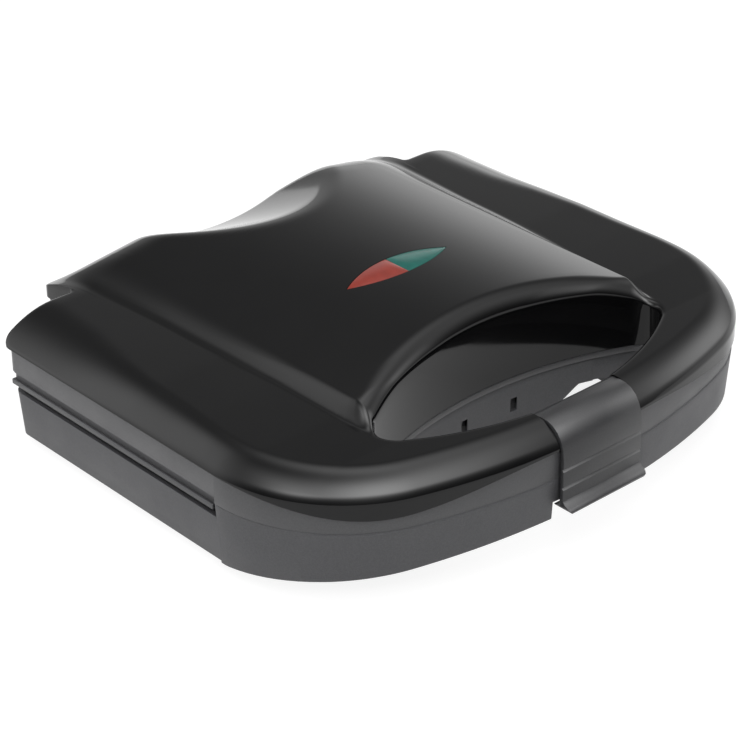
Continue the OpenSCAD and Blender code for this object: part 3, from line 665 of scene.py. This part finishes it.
    # -- heights --
    def edge_distance(self, x: np.ndarray, y: np.ndarray) -> np.ndarray:
        """Give the distance of points from the outer edge.

        Args:
            x: Distances from the middle.
            y: Places toward the hinge.

        Returns:
            The distances, positive inside.
        """
        centre = self.front_y + self.bow_radius
        side = self.half_width + self.overhang - x
        bow = self.bow_radius + self.overhang - np.hypot(x, y - centre)
        corner = self.corner_radius + self.overhang - np.hypot(x - self.corner_x, y - self.corner_y)
        in_bow = np.degrees(np.arctan2(x, centre - y)) < self.bow_angle
        return np.where(y > self.corner_y, side, np.where(in_bow, bow, corner))

    def hole_distance(self, x: np.ndarray, y: np.ndarray) -> np.ndarray:
        """Give the distance of points from the finger hole.

        Args:
            x: Distances from the middle.
            y: Places toward the hinge.

        Returns:
            The distances, positive outside the hole.
        """
        at_front = np.degrees(np.arctan2(x, self.hole_front_y - y))
        at_rear = 180 - np.degrees(np.arctan2(x, y - self.hole_rear_y))
        to_front = (at_front < self.front_angle) & (y < self.end_y)
        to_rear = (at_rear > self.rear_angle) & (y > self.end_y)
        front = np.hypot(x, y - self.hole_front_y) - self.hole_front_radius
        rear = np.hypot(x, y - self.hole_rear_y) - self.hole_rear_radius
        end = np.hypot(x - self.end_x, y - self.end_y) - self.hole_end_radius
        return np.where(to_front, front, np.where(to_rear, rear, end))

    def wing_height(self, y: np.ndarray) -> np.ndarray:
        """Give the height of the wings, which fall a little toward the handle."""
        return self.wing_z - np.interp(y, *self.wing_fall)

    def crown(self, x: np.ndarray, y: np.ndarray) -> np.ndarray:
        """Give the raised centre with its slanted side faces, edges rounded.

        Args:
            x: Distances from the middle.
            y: Places toward the hinge.

        Returns:
            The heights in millimetres.
        """
        wing = self.wing_height(y)
        edge = self.crown_half_width
        foot = edge + np.interp(y, *self.flank_foot)
        low = self.crown_z - edge ** 2 / (2 * self.crown_radius)
        dome = self.crown_z - x ** 2 / (2 * self.crown_radius)
        side = low - (low - wing) * (x - edge) / (foot - edge)
        return -soft_min(-wing, -soft_min(dome, side, self.flank_top_round), self.flank_foot_round)

    def height(self, x: np.ndarray, y: np.ndarray) -> np.ndarray:
        """Give the height of the cover.

        Args:
            x: Distances from the middle.
            y: Places toward the hinge.

        Returns:
            The heights in millimetres.
        """
        wing = self.wing_height(y)
        z = wing + (self.crown(x, y) - wing) * smoothstep((y - self.crown_start) / self.crown_rise)
        reach = np.interp(y, *self.edge_reach)
        inward = np.clip(self.edge_distance(x, y), 0, reach)
        z = z - (z - self.edge_z) * ((reach - inward) / reach) ** 2
        fall_length = self.ear_reach + self.fall_past - self.fall_start
        behind = np.maximum(y - self.fall_start, 0) / fall_length
        z = z - (z - np.minimum(z, self.fall_z)) * behind ** self.fall_power
        dome = self.crown_z - x ** 2 / (2 * self.crown_radius)
        crest = self.scoop_y + self.scoop_bow * (x / self.scoop_half_width) ** 2
        z = soft_min(z, dome - self.scoop_slope * (y - crest), self.scoop_round)
        r = np.interp(y, *self.hole_round)
        d = np.clip(self.hole_distance(x, y), 0, r)
        return z - r + np.sqrt(np.maximum(r * r - (r - d) ** 2, 0))

    def edge_low(self, x: float, y: float) -> float:
        """Give the lower edge of the cover's outer wall, which dips at the front corners.

        Args:
            x: Place across the toaster.
            y: Place along the toaster.

        Returns:
            Its height in millimetres.
        """
        if y > self.corner_y:
            return self.side_low
        a = math.degrees(math.atan2(x - self.corner_x, self.corner_y - y))
        b = math.degrees(math.atan2(x, self.front_y + self.bow_radius - y))
        if b >= self.bow_angle and a > self.dip_angle:
            share = (a - self.dip_angle) / (90 - self.dip_angle)
            return self.side_low - self.side_dip * (1 + math.cos(math.pi * share)) / 2
        in_bow = b < self.bow_angle
        turned = self.dip_angle - (self.bow_angle if in_bow else a)
        along = math.radians(turned) * self.corner_radius
        if in_bow:
            along += math.radians(self.bow_angle - b) * self.bow_radius
        phase = min(math.pi, math.pi * along / self.dip_length)
        return self.front_low - self.front_dip * (1 + math.cos(phase)) / 2

    def line(self, x: float, y: float, t: float) -> np.ndarray:
        """Give one line of the cover, from the foot of its outer wall to that of the hole's wall.

        Args:
            x: Start of the line across the toaster.
            y: Start of the line along the toaster.
            t: Place of its end on the finger hole.

        Returns:
            An array of points, one row each.
        """
        hx, hy = self.hole_point(t)
        length = math.hypot(hx - x, hy - y)
        at_scoop = 0.0
        if y > self.scoop_lines_y:
            at_scoop = float(smoothstep(np.array((self.scoop_lines_x - x) / self.scoop_blend)))
        # Rows lie close together near the outer edge and round the rim, and in the scoop evenly.
        i = np.arange(self.near_rows)
        shrink = min(1.0, self.near_share * length / self.near_length)
        near = self.near_length * shrink * (i / i[-1]) ** self.near_power
        scoop = np.interp(i, [0, 6, i[-1]], [0, 8, 54])
        near = near + at_scoop * (scoop - near)
        rim_angle = np.radians(90 * np.arange(self.rim_rows) / (self.rim_rows - 1))
        rim_length = min(1.0, self.rim_share * length / self.rim_length) * self.rim_length
        rim = length - rim_length * (1 - np.sin(rim_angle))
        middle = np.linspace(near[-1], rim[0], self.middle_rows + 2)[1:-1]
        along = np.concatenate([near, middle, rim])
        share = along / length
        px, py = x + (hx - x) * share, y + (hy - y) * share
        pz = self.height(px, py)
        low = self.edge_low(x, y)
        drop = min(self.edge_drop, 0.5 * (self.edge_z - low))
        pz = pz - drop * np.clip(1 - along / self.edge_round, 0, 1) ** 2
        foot = np.linspace(low, pz[0], self.wall_rows + 1)[:-1]
        hole_low = float(np.interp(hy, *self.hole_wall_low))
        lip = np.linspace(pz[-1], hole_low, self.hole_rows + 1)[1:]
        outer, inner = [(x, y, z) for z in foot], [(hx, hy, z) for z in lip]
        return np.array(outer + list(zip(px, py, pz)) + inner)

    # -- mesh --
    def build(self) -> Piece:
        """Model the cover.

        Returns:
            The cover, with its wall thickness and its lens window.
        """
        right = [self.line(*start) for start in self.line_starts()]
        left = [line * (-1, 1, 1) for line in right[-2::-1]]
        lines = np.array(right + left)
        cover = sheet("gloss_cover", lines, self.wall, Vector((0, 0, 1)))
        self.cut_window(cover)
        smooth_by_angle(cover, self.sharp)
        return cover

    def leaf(self, grow: float, steps: int) -> list[tuple[float, float]]:
        """Give the leaf-shaped outline of the lens window.

        Args:
            grow: How much larger it is all round.
            steps: Points for each half of each side.

        Returns:
            Its points in order.
        """
        radius = (self.lens_length ** 2 + self.lens_half ** 2) / (2 * self.lens_half)
        r, c = radius + grow, radius - self.lens_half
        tip = math.sqrt(r * r - c * c)
        xs = [tip * i / steps for i in range(-steps, steps)]
        lower = [(x, self.lens_y - math.sqrt(r * r - x * x) + c) for x in xs]
        return lower + [(-x, 2 * self.lens_y - y) for x, y in lower]

    def cut_window(self, cover: Piece) -> None:
        """Cut the lens window with a prism of the leaf outline.

        Args:
            cover: The cover.
        """
        outline = self.leaf(self.lens_gap, steps=24)
        deselect_all()
        bpy.ops.mesh.primitive_circle_add(vertices=len(outline), radius=1, fill_type="NGON")
        cutter = newest("window_cutter")
        for vertex, (x, y) in zip(cutter.data.vertices, outline):
            vertex.co = (x * MM, (y + PLAN_SHIFT) * MM, 0.058)
        bpy.ops.object.mode_set(mode="EDIT")
        bpy.ops.mesh.select_all(action="SELECT")
        bpy.ops.mesh.extrude_region_move(TRANSFORM_OT_translate={"value": (0, 0, 0.015)})
        bpy.ops.mesh.select_all(action="SELECT")
        bpy.ops.mesh.normals_make_consistent(inside=False)
        bpy.ops.object.mode_set(mode="OBJECT")
        finish_with(cover, "BOOLEAN", operation="DIFFERENCE", solver="EXACT", object=cutter)
        bpy.data.objects.remove(cutter)


# ---- pieces that keep the construction's shape and get their edges eased ----
@dataclass(frozen=True)
class EasedPiece:
    """A copy of a CAD node whose edges are eased, as a tool leaves them."""

    node: str
    name: str
    body: str
    finish: str
    slot: str
    ease_mm: float
    corner: float = 32.0
    miter: str = "MITER_ARC"
    cuts: tuple[tuple[float, ...], ...] = ()

    def build(self) -> Piece:
        """Model the piece.

        Returns:
            The merged copy, cut and with eased edges.
        """
        piece = merged_copy(self.node, self.name)
        cut_boxes(piece, self.cuts)
        ease_edges(piece, self.ease_mm, self.corner, miter=self.miter)
        return piece


EASED = (
    EasedPiece("base_shell", "lower_housing", "base", "housing_black", "satin_black", 0.45),
    EasedPiece("lid_frame", "upper_frame", "lid", "frame_black", "satin_black", 0.3),
    EasedPiece("latch", "closing_clip", "latch", "latch_black", "latch_black", 0.35),
    EasedPiece("red_lens", "red_window", "lid", "red_lens", "red_lens", 0.3),
    EasedPiece("green_lens", "green_window", "lid", "green_lens", "green_lens", 0.3),
)


@dataclass(frozen=True)
class Curtain:
    """A wall that follows the rear edge of the finger hole, below it."""

    name: str
    gap: float
    half_width: float
    columns: int
    top_z: float
    rows: int
    low: Table
    wall: float

    def build(self, form: LidCover) -> Piece:
        """Model the wall.

        Args:
            form: The cover, which has the finger hole.

        Returns:
            The wall.
        """
        radius = form.hole_rear_radius + self.gap
        lines = []
        for x in np.linspace(-self.half_width, self.half_width, self.columns):
            y = form.hole_rear_y + math.sqrt(radius ** 2 - x ** 2)
            low = float(np.interp(abs(x), *self.low))
            lines.append([(x, y, z) for z in np.linspace(self.top_z, low, self.rows)])
        return sheet(self.name, np.array(lines), self.wall, Vector((0, -1, 0)))


@dataclass
class BaseWalls:
    """The front wall beside the clip, and the slotted wall behind the finger hole.

    The front wall leans in toward the floor by draft and stands out by proud, which fades past
    fade_from of its length. Its underside rises toward the clip.
    """

    cover: LidCover
    floor_z: float = 4.0
    top_z: float = 28.95
    draft: float = 2.0
    seam_z: float = 29.4
    proud: float = 0.3
    fade_depth: float = 0.7
    fade_from: float = 0.7
    fade_over: float = 0.3
    rise: float = 0.127
    rise_from_y: float = -50.0
    wall: float = 2.3
    clip_x: float = 21.5
    end_angle: float = 62.0
    columns: int = 60
    rows: int = 13
    settle_rounds: int = 6
    corner: float = 40.0
    slot_x: tuple[float, ...] = (-33.3, -8.2, 16.9)
    slot_half: float = 1.6
    slot_y: tuple[float, float] = (-75.0, -53.0)
    slot_z: tuple[float, float] = (16.5, 22.2)
    back: Curtain = Curtain("hole_back_wall", gap=0.7, half_width=52, columns=73, top_z=28.9,
                            rows=9, low=((0, 30, 40, 46), (8.5, 9.5, 14.5, 19.4)), wall=2.3)
    inner: Curtain = Curtain("slot_baffle", gap=6.5, half_width=38, columns=33, top_z=27, rows=5,
                             low=((0,), (9,)), wall=1.2)

    def front_point(self, angle: float, out: float, share: float) -> Triple:
        """Give a point of the right front wall's outer face.

        Args:
            angle: Place along the outline, in degrees from the middle.
            out: How far the face stands out there.
            share: Height, from the rising underside (0) to the top (1).

        Returns:
            The point in plan millimetres.
        """
        form, height = self.cover, self.top_z
        in_bow = angle < form.bow_angle
        radius = form.bow_radius if in_bow else form.corner_radius
        centre = (0.0, form.front_y + form.bow_radius) if in_bow else (form.corner_x, form.corner_y)
        a = math.radians(angle)
        # The place depends on the height and the height on the place, so both settle in rounds.
        for _ in range(self.settle_rounds):
            inset = self.draft * (self.seam_z - height) / (self.seam_z - self.floor_z) - out
            r = radius - inset
            x, y = centre[0] + r * math.sin(a), centre[1] - r * math.cos(a)
            low = self.floor_z + self.rise * (self.rise_from_y - y)
            height = low + (self.top_z - low) * share
        return x, y, height

    def front(self, side: int) -> Piece:
        """Model the front wall on one side of the clip.

        Args:
            side: 1 for the right, -1 for the left.

        Returns:
            The wall, from the seam down to the rising underside.
        """
        start = math.degrees(math.asin(self.clip_x / self.cover.bow_radius))
        lines = []
        for i in range(self.columns + 1):
            share = i / self.columns
            angle = start + (self.end_angle - start) * share
            fade = max(0.0, (share - self.fade_from) / self.fade_over)
            out = self.proud - self.fade_depth * fade ** 2
            points = [self.front_point(angle, out, z) for z in np.linspace(1, 0, self.rows)]
            lines.append([(side * x, y, z) for x, y, z in points])
        name = f"front_wall_{SIDE_NAMES[side]}"
        piece = sheet(name, np.array(lines), self.wall, Vector((0, -1, 0)))
        ease_edges(piece, 0.35, self.corner)
        return piece

    def slots(self) -> list[tuple[float, ...]]:
        """List the boxes of the slots behind the finger hole."""
        half = self.slot_half
        return [(x - half, x + half, *self.slot_y, *self.slot_z) for x in self.slot_x]

    def behind_hole(self) -> Piece:
        """Model the slotted wall under the rear edge of the finger hole.

        Returns:
            The wall, whose lower edge rises toward both ends.
        """
        piece = self.back.build(self.cover)
        cut_boxes(piece, self.slots())
        ease_edges(piece, 0.3, self.corner)
        return piece

    def baffle(self) -> Piece:
        """Model the strip inside that keeps light from coming up through the slots.

        Returns:
            The strip.
        """
        piece = self.inner.build(self.cover)
        smooth_by_angle(piece, SHARP)
        return piece


@dataclass(frozen=True)
class SideBand:
    """The narrow band under the upper frame, above the dark gap between the plates."""

    middle: Triple = (118.15, 15.6, 26.85)
    size: Triple = (2.3, 121.4, 2.2)

    def build(self, side: int) -> Piece:
        """Model one band.

        Args:
            side: 1 for the right, -1 for the left.

        Returns:
            The band.
        """
        deselect_all()
        bpy.ops.mesh.primitive_cube_add(size=1)
        piece = newest(f"side_band_{SIDE_NAMES[side]}")
        for vertex in piece.data.vertices:
            x, y, z = (m + w * c for m, w, c in zip(self.middle, self.size, vertex.co))
            vertex.co = (side * x * MM, (y + PLAN_SHIFT) * MM, z * MM)
        if side < 0:
            piece.data.flip_normals()
        ease_edges(piece, 0.4, 40, segments=3)
        return piece


# The plates' lips are cut back to what shows between the halves.
LIPS = ((-130, -117.0, -60, 90, 20, 32), (117.0, 130, -60, 90, 20, 32))
PLATES = tuple(
    EasedPiece(f"{half}_plate", f"{half}_cooking_plate", body, "nonstick", "nonstick", 0.3,
               miter="MITER_SHARP", cuts=LIPS)
    for half, body in (("lower", "base"), ("upper", "lid")))

# CAD nodes that show as they are, under the finish that they get.
CARRIED = {
    "element_metal": ("lower_element", "upper_element"),
    "sheet_metal": ("lower_heat_shield", "upper_heat_shield", "thermostat"),
    "screw_steel": ("lower_plate_screws", "upper_plate_screws", "lid_screws", "cord_clamp_screws",
                    "bracket_screws", "hinge_pins", "latch_pin"),
    "ceramic": ("terminal_block", "cord_clamp", "lamp_holder"),
    "fuse_body": ("thermal_fuse",),
    "rubber": ("rubber_feet", "cord_grommet"),
    "satin_black": ("hinge_brackets", "latch_mount"),
    "lamp_glass": ("neon_lamps",),
}


# ---- studio ----
@dataclass(frozen=True)
class Softbox:
    """A soft lamp for the matt surfaces, whose reflection the surroundings draw."""

    name: str
    toward: Triple
    distance: float
    size: tuple[float, float]
    radiance: float
    aim: Triple = (0.0, 0.0, 0.04)

    def build(self) -> None:
        """Place the lamp and turn it to the toaster."""
        data = bpy.data.lights.new(self.name, "AREA")
        data.shape = "RECTANGLE"
        data.size, data.size_y = self.size
        data.energy = self.radiance * math.pi * self.size[0] * self.size[1]
        lamp = bpy.data.objects.new(self.name, data)
        bpy.context.scene.collection.objects.link(lamp)
        direction = Vector(self.toward).normalized()
        lamp.location = Vector(self.aim) + direction * self.distance
        lamp.rotation_euler = direction.to_track_quat("Z", "Y").to_euler()
        lamp.visible_glossy = False


SOFTBOXES = (
    Softbox("front_box", (-0.33, -0.61, 0.72), 1.4, (0.70, 0.34), 3.0),
    Softbox("left_box", (-0.90, 0.10, 0.42), 1.4, (0.7, 0.5), 3.4),
    Softbox("top_box", (0.10, 0.05, 1.0), 1.3, (1.1, 1.0), 0.8),
)

# Soft lights as the gloss shows them: azimuth from +X, elevation, strength and focus.
REFLECTED = (
    (60, 4, 0.31, 14), (-12, 18, 2.84, 14), (36, 10, 0.5, 14), (60, 18, 0.16, 14),
    (108, 18, 0.98, 14), (132, 18, 2.3, 14), (-174, 42, 4.0, 14), (-122, 47, 9.0, 14),
    (-88, 48, 8.5, 14), (0, 72, 1.9, 14), (45, 74, 2.2, 14), (-164, 35, 4.5, 30),
    (-45, 57, 1.5, 30), (-20, 23, 2.4, 30), (118, 37, 1.2, 30), (37, 5, 1.3, 50),
)


@dataclass(frozen=True)
class Studio:
    """The white floor, the soft surroundings and the camera of the photograph."""

    azimuth: float = -41.763
    elevation: float = 28.199
    roll: float = -0.5726
    focal_pixels: float = 2644.97
    shift_pixels: tuple[float, float] = (10.76, -64.89)
    distance: float = 1.01672
    target: Triple = (0.0, 0.0108, 0.04667)
    floor_side: float = 12.0
    floor_glow: float = 0.86
    floor_shade: tuple[float, float, float, float] = (0.3, 0.3, 0.3, 1)
    sky: tuple[float, float] = (0.03, 0.08)
    fill: float = 0.62

    def camera(self) -> None:
        """Make the camera and set it as the scene's."""
        a, e, r = (math.radians(v) for v in (self.azimuth, self.elevation, self.roll))
        back = Vector((math.sin(a) * math.cos(e), -math.cos(a) * math.cos(e), math.sin(e)))
        across = Vector((0, 0, 1)).cross(back).normalized()
        up = back.cross(across)
        right = across * math.cos(r) + up * math.sin(r)
        top = up * math.cos(r) - across * math.sin(r)
        data = bpy.data.cameras.new("photo_camera")
        data.sensor_width = 36.0
        data.lens = self.focal_pixels / IMAGE_SIDE * data.sensor_width
        data.shift_x = -self.shift_pixels[0] / IMAGE_SIDE
        data.shift_y = self.shift_pixels[1] / IMAGE_SIDE
        data.clip_start, data.clip_end = 0.01, 50.0
        camera = bpy.data.objects.new("photo_camera", data)
        bpy.context.scene.collection.objects.link(camera)
        place = Matrix((right, top, back)).transposed().to_4x4()
        place.translation = Vector(self.target) + back * self.distance
        camera.matrix_world = place
        bpy.context.scene.camera = camera

    @staticmethod
    def shown_ray(nodes: Nodes) -> Socket:
        """Tell the rays that show something from those that only light it.

        Args:
            nodes: The tree being built.

        Returns:
            The socket: 1 for rays from the camera and those that gloss or glass pass on.
        """
        path = nodes.add("ShaderNodeLightPath")
        total = path.outputs["Is Camera Ray"]
        for name in ("Is Glossy Ray", "Is Transmission Ray"):
            inputs = {0: total, 1: path.outputs[name]}
            total = nodes.add("ShaderNodeMath", inputs, operation="MAXIMUM").outputs[0]
        return total

    def finish_by_ray(self, nodes: Nodes, lighting: Socket, shown: Socket) -> None:
        """Finish with one shader for rays that only light and another for those that show."""
        inputs = {"Fac": self.shown_ray(nodes), 1: lighting, 2: shown}
        nodes.finish(nodes.add("ShaderNodeMixShader", inputs).outputs[0])

    def floor(self) -> None:
        """Lay the pale floor, which shows white and keeps the object's shadow."""
        deselect_all()
        bpy.ops.mesh.primitive_plane_add(size=self.floor_side, location=(0, 0, 0))
        floor = newest("floor")
        nodes = Nodes(bpy.data.materials.new("pale_floor"))
        grain = nodes.noise(40.0, 3.0)
        tone = nodes.two_tone(grain, (0.80, 0.80, 0.80), (0.84, 0.84, 0.84), 0.3, 0.7)
        matt = nodes.add("ShaderNodeBsdfDiffuse", {"Color": tone}).outputs[0]
        glow = {"Color": (1, 1, 1, 1), "Strength": self.floor_glow}
        white = nodes.add("ShaderNodeEmission", glow).outputs[0]
        faint = nodes.add("ShaderNodeBsdfDiffuse", {"Color": self.floor_shade}).outputs[0]
        both = nodes.add("ShaderNodeAddShader", {0: white, 1: faint}).outputs[0]
        self.finish_by_ray(nodes, matt, both)
        floor.data.materials.append(nodes.owner)

    def surroundings(self) -> None:
        """Make the world: plain light on matt surfaces, soft lights where the gloss shows it."""
        world = bpy.data.worlds.new("studio")
        bpy.context.scene.world = world
        nodes = Nodes(world, "ShaderNodeOutputWorld")
        ray = nodes.add("ShaderNodeTexCoord").outputs["Generated"]
        split = nodes.add("ShaderNodeSeparateXYZ", {0: ray})
        total = nodes.spread(split.outputs["Z"], *self.sky, start=0.0, end=1.0)
        for azimuth, elevation, strength, focus in REFLECTED:
            a, e = math.radians(azimuth), math.radians(elevation)
            toward = (math.cos(e) * math.cos(a), math.cos(e) * math.sin(a), math.sin(e))
            near = nodes.add("ShaderNodeVectorMath", {0: ray, 1: toward}, operation="DOT_PRODUCT")
            inputs = {0: near.outputs["Value"], 1: focus, 2: math.log(strength) - focus}
            falloff = nodes.add("ShaderNodeMath", inputs, operation="MULTIPLY_ADD").outputs[0]
            glow = nodes.add("ShaderNodeMath", {0: falloff}, operation="EXPONENT").outputs[0]
            total = nodes.add("ShaderNodeMath", {0: total, 1: glow}, operation="ADD").outputs[0]
        shown = nodes.add("ShaderNodeBackground", {"Strength": total}).outputs[0]
        plain_light = {"Color": (1, 1, 1, 1), "Strength": self.fill}
        soft = nodes.add("ShaderNodeBackground", plain_light).outputs[0]
        self.finish_by_ray(nodes, soft, shown)

    def build(self) -> None:
        """Set up the studio."""
        bpy.context.scene.view_settings.view_transform = "Standard"
        self.camera()
        self.floor()
        self.surroundings()
        for box in SOFTBOXES:
            box.build()


class Toaster:
    """The whole toaster: every piece with its finish, on the body that carries it."""

    def __init__(self, palette: Palette) -> None:
        """Keep the finishes."""
        self.palette = palette

    def add(self, piece: Piece, body: str, finish: str, slot: str = "satin_black",
            node: str | None = None) -> None:
        """Dress a piece, put it on its body and let it stand for its CAD node.

        Args:
            piece: The finished mesh.
            body: The body that carries it.
            finish: Its finish.
            slot: The record's material slot.
            node: The CAD node that it stands for, unless the construction lacks it.
        """
        self.palette.dress(piece, finish, slot)
        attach(piece, body)
        if node is not None:
            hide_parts(node)
        LOG.info("%s: %d faces, %s on %s", piece.name, len(piece.data.polygons), finish, body)

    def build(self) -> None:
        """Build and dress every piece in order."""
        cover = LidCover()
        walls = BaseWalls(cover)
        self.add(cover.build(), "lid", "gloss_black", "gloss_black", "lid_cover")
        for eased in EASED:
            piece = eased.build()
            if eased.node == "base_shell":
                cut_boxes(piece, walls.slots())
                smooth_by_angle(piece, SHARP)
            self.add(piece, eased.body, eased.finish, eased.slot, eased.node)
        for piece in (walls.front(1), walls.front(-1), walls.behind_hole(), walls.baffle()):
            self.add(piece, "base", "housing_black")
        for piece in (SideBand().build(1), SideBand().build(-1)):
            self.add(piece, "lid", "frame_black")
        for plate in PLATES:
            self.add(plate.build(), plate.body, plate.finish, plate.slot, plate.node)
        for finish, names in CARRIED.items():
            for name in names:
                self.palette.dress(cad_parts[name], finish)
                LOG.info("%s: %s", name, finish)


def main() -> None:
    """Build the studio and the toaster."""
    logging.basicConfig(level=logging.INFO, format="%(message)s")
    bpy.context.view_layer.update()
    Studio().build()
    Toaster(Palette()).build()


if __name__ == "__main__":
    main()
